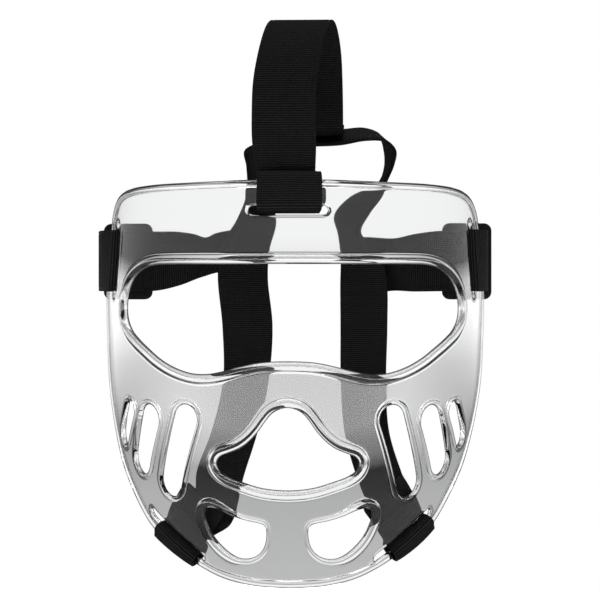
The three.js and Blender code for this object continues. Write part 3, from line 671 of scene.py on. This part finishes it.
def tab_mesh(name, place, long, broad, hooked):
    """hooked is 1 where the hooks stand on the raised side, -1 on the other."""
    rows = np.concatenate([[0, 0.12, 0.35, 0.8, 1.6, 2.6], np.arange(3.6, long - 3.5, 0.8)])
    rows = np.concatenate([rows, long - rows[5::-1]])
    shares = np.array([0, 0.006, 0.02, 0.045, 0.09, 0.18, 0.3, 0.4, 0.5])
    shares = np.concatenate([shares, 1 - shares[-2::-1]])
    soft = np.minimum(1, np.minimum(rows, long - rows) / 0.5)
    near = np.clip(TAB_CORNER - np.minimum(rows, long - rows), 0, None)
    half = broad / 2 - TAB_CORNER + np.sqrt(TAB_CORNER**2 - near**2)
    s = rows[:, None] + 0 * shares[None]
    q = half[:, None] * (2 * shares[None] - 1)
    rim = np.minimum(1, np.minimum(shares, 1 - shares)[None] * 2 * half[:, None] / 0.5)
    thick = np.sqrt(1 - (1 - np.minimum(rim, soft[:, None])) ** 2) * TAB_THICK / 2
    wave = 0.06 * np.cos(2 * math.pi * s / 1.6)
    thick = np.where(thick > 0.6, thick - 0.06 + wave, thick)
    over, under = place(s, q, thick), place(s, q, -thick)
    n, m = s.shape
    verts = np.concatenate([over.reshape(-1, 3), under.reshape(-1, 3)])
    faces = []
    for i in range(n - 1):
        for j in range(m - 1):
            a, b, c, d = i * m + j, i * m + j + 1, (i + 1) * m + j + 1, (i + 1) * m + j
            faces += [[a, b, c, d], [n * m + d, n * m + c, n * m + b, n * m + a]]
    border = [j for j in range(m)] + [i * m + m - 1 for i in range(1, n)]
    border += [(n - 1) * m + j for j in range(m - 2, -1, -1)] + [i * m for i in range(n - 2, 0, -1)]
    for a, b in zip(border, border[1:] + border[:1]):
        faces.append([b, a, n * m + a, n * m + b])
    base = len(verts)
    hooks, more = [], []
    for i, hs in enumerate(np.arange(2.2, long - 1.8, HOOK_PITCH)):
        for hq in np.arange(-broad / 2 + 2.4, broad / 2 - 2.2, HOOK_PITCH):
            q0 = hq + (HOOK_PITCH / 2 if i % 2 else 0)
            lean = HOOK_LEAN if i % 2 else -HOOK_LEAN
            for radius, rise, share in HOOK_RINGS:
                for a in range(5):
                    t = 2 * math.pi * a / 5
                    high = TAB_THICK / 2 - 0.08 + rise
                    hooks.append((hs + radius * math.cos(t), q0 + lean * share + radius * math.sin(t), high))
            more += ring_faces(base, 5, 4)
            more.append([base + 15 + a for a in range(5)])
            base += 20
    h = np.array(hooks)
    verts = np.concatenate([verts, place(h[:, 0], h[:, 1], hooked * h[:, 2])])
    uv = np.concatenate([np.stack([q, s], -1).reshape(-1, 2)] * 2 + [h[:, 1::-1]]) / 1000
    return facing_out(add_mesh(name, verts, faces + more, uv=uv))


# Stitches: short threads sunk at both ends, rings as place along, lift and share of the thread's size
THREAD_RINGS = ((-1.1, -0.2, 0.5), (-0.75, 0.06, 0.9), (0, 0.16, 1), (0.75, 0.06, 0.9), (1.1, -0.2, 0.5))


def stitches(name, webbing, rows, side):
    """rows are (run, place across, heading along or across) of each stitch on one side of the webbing."""
    verts, faces = [], []
    base = 0
    for run, w, lengthwise in rows:
        i = int(np.clip(run / STEP, 1, len(webbing.run) - 2))
        centre = webbing.at(np.array([i]), w, [side * (WEB_THICK / 2 - 0.05)])[0]
        lead = webbing.along[i] if lengthwise else webbing.wide[i]
        flank = webbing.wide[i] if lengthwise else webbing.along[i]
        for share, lift, thin in THREAD_RINGS:
            for a in range(6):
                t = math.pi * a / 3
                verts.append(
                    centre + lead * share + flank * (0.24 * thin * math.cos(t))
                    + webbing.normal[i] * side * (lift + 0.2 * thin * math.sin(t))
                )
        faces += ring_faces(base, 6, 5)
        faces += [[base + a for a in range(5, -1, -1)], [base + 24 + a for a in range(6)]]
        base += 30
    return facing_out(add_mesh(name, verts, faces))


# Materials
def material(name):
    made = bpy.data.materials.new(name)
    made.use_nodes = True
    nodes = made.node_tree.nodes
    return made, nodes, made.node_tree.links, nodes["Principled BSDF"]


def clear_plastic():
    made, nodes, links, shader = material("clear_plastic")
    place = nodes.new("ShaderNodeTexCoord")
    turn = nodes.new("ShaderNodeLayerWeight")
    turn.inputs["Blend"].default_value = 0.5
    rim = nodes.new("ShaderNodeAttribute")
    rim.attribute_name = "rim"
    # Painted shade: where a rim bead's flank turns away from the view, the base colour goes from clear to
    # near black, drawing dark lines along the rims.
    edge = nodes.new("ShaderNodeMath")
    edge.operation = "MULTIPLY"
    links.new(turn.outputs["Facing"], edge.inputs[0])
    links.new(rim.outputs["Fac"], edge.inputs[1])
    ramp = nodes.new("ShaderNodeValToRGB")
    stops = ramp.color_ramp.elements
    stops[0].position, stops[0].color = 0.24, (0.965, 0.97, 0.975, 1)
    stops[1].position, stops[1].color = 0.52, (0.02, 0.02, 0.022, 1)
    links.new(edge.outputs[0], ramp.inputs[0])
    links.new(ramp.outputs[0], shader.inputs["Base Color"])
    wear = nodes.new("ShaderNodeTexNoise")
    wear.inputs["Scale"].default_value = 90
    wear.inputs["Detail"].default_value = 6
    links.new(place.outputs["Object"], wear.inputs["Vector"])
    haze = nodes.new("ShaderNodeMapRange")
    haze.inputs["From Min"].default_value = 0.35
    haze.inputs["From Max"].default_value = 0.8
    haze.inputs["To Min"].default_value = 0.015
    haze.inputs["To Max"].default_value = 0.06
    links.new(wear.outputs[0], haze.inputs["Value"])
    links.new(haze.outputs[0], shader.inputs["Roughness"])
    shader.inputs["Transmission Weight"].default_value = 1.0
    shader.inputs["IOR"].default_value = 1.58
    return made


def webbing_black(name, dark, light, thread):
    made, nodes, links, shader = material(name)
    place = nodes.new("ShaderNodeTexCoord")
    fuzz = nodes.new("ShaderNodeTexNoise")
    fuzz.inputs["Scale"].default_value = 1800
    fuzz.inputs["Detail"].default_value = 3
    links.new(place.outputs["Object"], fuzz.inputs["Vector"])
    # Painted highlight and painted shade: bands along the run at the rib pitch make the base colour lighter
    # on the rib crests and darker between them, mixed with a fine random fuzz in tone.
    rib = nodes.new("ShaderNodeTexWave")
    rib.bands_direction = "Y"
    rib.inputs["Scale"].default_value = math.pi / 10 / (RIB / 1000)
    rib.inputs["Distortion"].default_value = 0.4
    links.new(place.outputs["UV"], rib.inputs["Vector"])
    fuzz_and_rib_shade = nodes.new("ShaderNodeMath")
    fuzz_and_rib_shade.operation = "MULTIPLY"
    links.new(fuzz.outputs[0], fuzz_and_rib_shade.inputs[0])
    links.new(rib.outputs["Fac"], fuzz_and_rib_shade.inputs[1])
    ramp = nodes.new("ShaderNodeValToRGB")
    stops = ramp.color_ramp.elements
    stops[0].position, stops[0].color = 0.12, (dark, dark, dark * 1.06, 1)
    stops[1].position, stops[1].color = 0.55, (light, light, light * 1.06, 1)
    links.new(fuzz_and_rib_shade.outputs[0], ramp.inputs[0])
    links.new(ramp.outputs[0], shader.inputs["Base Color"])
    weave = nodes.new("ShaderNodeTexWave")
    weave.bands_direction = "X"
    weave.inputs["Scale"].default_value = thread
    weave.inputs["Distortion"].default_value = 1.2
    weave.inputs["Detail"].default_value = 2
    links.new(place.outputs["UV"], weave.inputs["Vector"])
    bump = nodes.new("ShaderNodeBump")
    bump.inputs["Strength"].default_value = 0.55
    bump.inputs["Distance"].default_value = 0.00012
    links.new(weave.outputs["Fac"], bump.inputs["Height"])
    links.new(bump.outputs[0], shader.inputs["Normal"])
    shader.inputs["Roughness"].default_value = 0.78
    shader.inputs["Specular IOR Level"].default_value = 0.06
    return made


def pale_floor():
    made, nodes, links, shader = material("pale_floor")
    shader.inputs["Base Color"].default_value = (0.9, 0.9, 0.9, 1)
    shader.inputs["Roughness"].default_value = 0.9
    shader.inputs["Emission Color"].default_value = (1, 1, 1, 1)
    shader.inputs["Emission Strength"].default_value = 0.75
    return made


def wall_glow():
    made, nodes, links, shader = material("wall_glow")
    glow = nodes.new("ShaderNodeAttribute")
    glow.attribute_name = "glow"
    shader.inputs["Base Color"].default_value = (0, 0, 0, 1)
    shader.inputs["Emission Color"].default_value = (1, 1, 1, 1)
    links.new(glow.outputs["Fac"], shader.inputs["Emission Strength"])
    return made


def dress(made, slot, finish, *nodes):
    made.data.materials.append(finish)
    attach(made, "root")
    if nodes:
        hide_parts(*nodes)
    return made


# The mask
black = webbing_black("black_webbing", 0.0006, 0.013, 320)
hook_black = webbing_black("hook_tape", 0.001, 0.016, 200)
clear_finish = clear_plastic()
shell = facing_out(add_mesh("clear_shell", *shell_mesh()))
dress(shell, "clear_shell", clear_finish, "shell")

straps = {
    "top": (Webbing(top_stations), "top_strap", "hung", ["shell"]),
    "back": (Webbing(back_stations), "back_strap", "hung", ["shell", "top_strap"]),
    "right": (Webbing(right_stations), "side_strap_right", "hung", ["shell", "back_strap"]),
    "left": (Webbing(left_stations), "side_strap_left", "hung", ["shell", "back_strap"]),
}
for key, (webbing, name, held, rests) in straps.items():
    dress(webbing.mesh("webbing_" + key), "webbing", black, name)

tabs = {
    "top": (top_tab, TOP_TAB_LONG, TAB_WIDE, 1),
    "lower_right": (lower_tab(lower_right), LOWER_TAB_LONG, LOWER_TAB_WIDE, 1),
    "lower_left": (leftward(lower_tab(lower_left)), LOWER_TAB_LONG, LOWER_TAB_WIDE, 1),
    "side_right": (side_tab(102.7), TAB_LONG, TAB_WIDE, -1),
    "side_left": (leftward(side_tab(101.8)), TAB_LONG, TAB_WIDE, -1),
}
for key, (place, long, broad, hooked) in tabs.items():
    tape = tab_mesh("hooks_" + key, place, long, broad, hooked)
    dress(tape, "hook_tab", hook_black, "tab_" + key)

seams = {}
spread = np.arange(-13, 13.1, 2.6)
for key, runs in (("top", (4, 20)), ("right", (4, 9)), ("left", (4, 9))):
    webbing = straps[key][0]
    at = runs if key == "top" else [webbing.long - r for r in runs]
    rows = [(r, w, False) for r in at for w in spread]
    for facing in (1, -1):
        name = "stitching_%s_%s" % (key, "over" if facing > 0 else "under")
        seams.setdefault(key, []).append(dress(stitches(name, webbing, rows, facing), "webbing", black))


# Stage, light and camera
def area(name, size, power, where, towards):
    light = bpy.data.lights.new(name, "AREA")
    light.shape = "RECTANGLE"
    light.size, light.size_y = size
    light.energy = power
    made = bpy.data.objects.new(name, light)
    made.location = where
    made.rotation_euler = (Vector(towards) - Vector(where)).to_track_quat("-Z", "Y").to_euler()
    made.visible_camera = False
    bpy.context.scene.collection.objects.link(made)
    return made


floor_mesh = bpy.data.meshes.new("floor")
FLOOR_REACH = 0.45
FLOOR_LEVEL = -0.345
around = np.arange(96) * math.pi / 48
round_floor = [(FLOOR_REACH * math.cos(t), FLOOR_REACH * math.sin(t), FLOOR_LEVEL) for t in around]
floor_mesh.from_pydata(round_floor, [], [list(range(96))])
floor_mesh.materials.append(pale_floor())
floor = bpy.data.objects.new("floor", floor_mesh)
floor.visible_glossy = False
floor.visible_transmission = False
bpy.context.scene.collection.objects.link(floor)

# Low soft light wall round the front and sides, faded at its edges
GLOW_BY_TURN = [(0, 4.9), (30, 4.9), (60, 6.2), (85, 4.6), (125, 3.0), (140, 0)]
GLOW_BY_HEIGHT = [(-90, 0), (-20, 1), (28, 1), (46, 0)]
WALL_REACH = 345
WALL_CENTRE = 95
ACROSS, UP = 57, 35
turns, heights = np.linspace(-140, 140, ACROSS), np.linspace(-90, 46, UP)
turn_grid, height_grid = (g.ravel() for g in np.meshgrid(turns, heights, indexing="ij"))
bearing = np.radians(turn_grid)
wall_verts = np.stack(
    [WALL_REACH * np.sin(bearing), WALL_CENTRE - WALL_REACH * np.cos(bearing), height_grid], 1)
wall_faces = [
    [i * UP + j, i * UP + j + 1, (i + 1) * UP + j + 1, (i + 1) * UP + j]
    for i in range(ACROSS - 1) for j in range(UP - 1)
]
glow = np.interp(np.abs(turn_grid), *zip(*GLOW_BY_TURN)) * np.interp(height_grid, *zip(*GLOW_BY_HEIGHT))
light_wall = add_mesh("light_wall", wall_verts, wall_faces)
glow_layer = light_wall.data.attributes.new("glow", "FLOAT", "POINT")
glow_layer.data.foreach_set("value", glow.astype(np.float32))
light_wall.data.materials.append(wall_glow())
light_wall.visible_camera = False
light_wall.visible_transmission = False
light_wall.visible_shadow = False

softbox_top = area("softbox_top", (1.0, 0.7), 10, (0.0, -0.1, 0.95), (0, 0, -0.14))
softbox_rear = area("softbox_rear", (0.7, 0.5), 6, (0.0, 0.55, 0.1), (0, 0, -0.14))
softbox_rear.visible_glossy = False
softbox_rear.visible_transmission = False

world = bpy.data.worlds.new("studio")
bpy.context.scene.world = world
world.use_nodes = True
nodes, links = world.node_tree.nodes, world.node_tree.links
heading = nodes.new("ShaderNodeTexCoord")
parts = nodes.new("ShaderNodeSeparateXYZ")
links.new(heading.outputs["Generated"], parts.inputs[0])
span = nodes.new("ShaderNodeMapRange")
span.inputs["From Min"].default_value = -1
links.new(parts.outputs["Z"], span.inputs["Value"])
backdrop = nodes.new("ShaderNodeValToRGB")
stops = backdrop.color_ramp.elements
stops[0].position, stops[0].color = 0.0, (0.75, 0.75, 0.75, 1)
stops[1].position, stops[1].color = 1.0, (0.97, 0.97, 0.97, 1)
for at, grey in ((0.37, 0.72), (0.435, 0.5), (0.484, 0.36), (0.515, 0.97)):
    stops.new(at).color = (grey, grey, grey, 1)
links.new(span.outputs[0], backdrop.inputs[0])
path = nodes.new("ShaderNodeLightPath")
mirror = nodes.new("ShaderNodeMix")
links.new(path.outputs["Is Reflection Ray"], mirror.inputs["Factor"])
links.new(backdrop.outputs[0], mirror.inputs["A"])
mirror.inputs["B"].default_value = 0.12
seen = nodes.new("ShaderNodeMath")
seen.operation = "MAXIMUM"
links.new(path.outputs["Is Camera Ray"], seen.inputs[0])
links.new(mirror.outputs["Result"], seen.inputs[1])
links.new(seen.outputs[0], nodes["Background"].inputs["Strength"])
nodes["Background"].inputs["Color"].default_value = (1, 1, 1, 1)

lens = bpy.data.cameras.new("camera")
lens.sensor_width = 36
lens.lens = 2067 / 600 * 36
lens.clip_end = 100
camera = bpy.data.objects.new("camera", lens)
camera.location = ((np.array([49.62, -998.86, 0]) - HANG) / 1000).tolist()
camera.rotation_euler = (math.radians(90), 0, math.radians(2.5))
bpy.context.scene.collection.objects.link(camera)
bpy.context.scene.camera = camera
bpy.context.scene.view_settings.view_transform = "Standard"
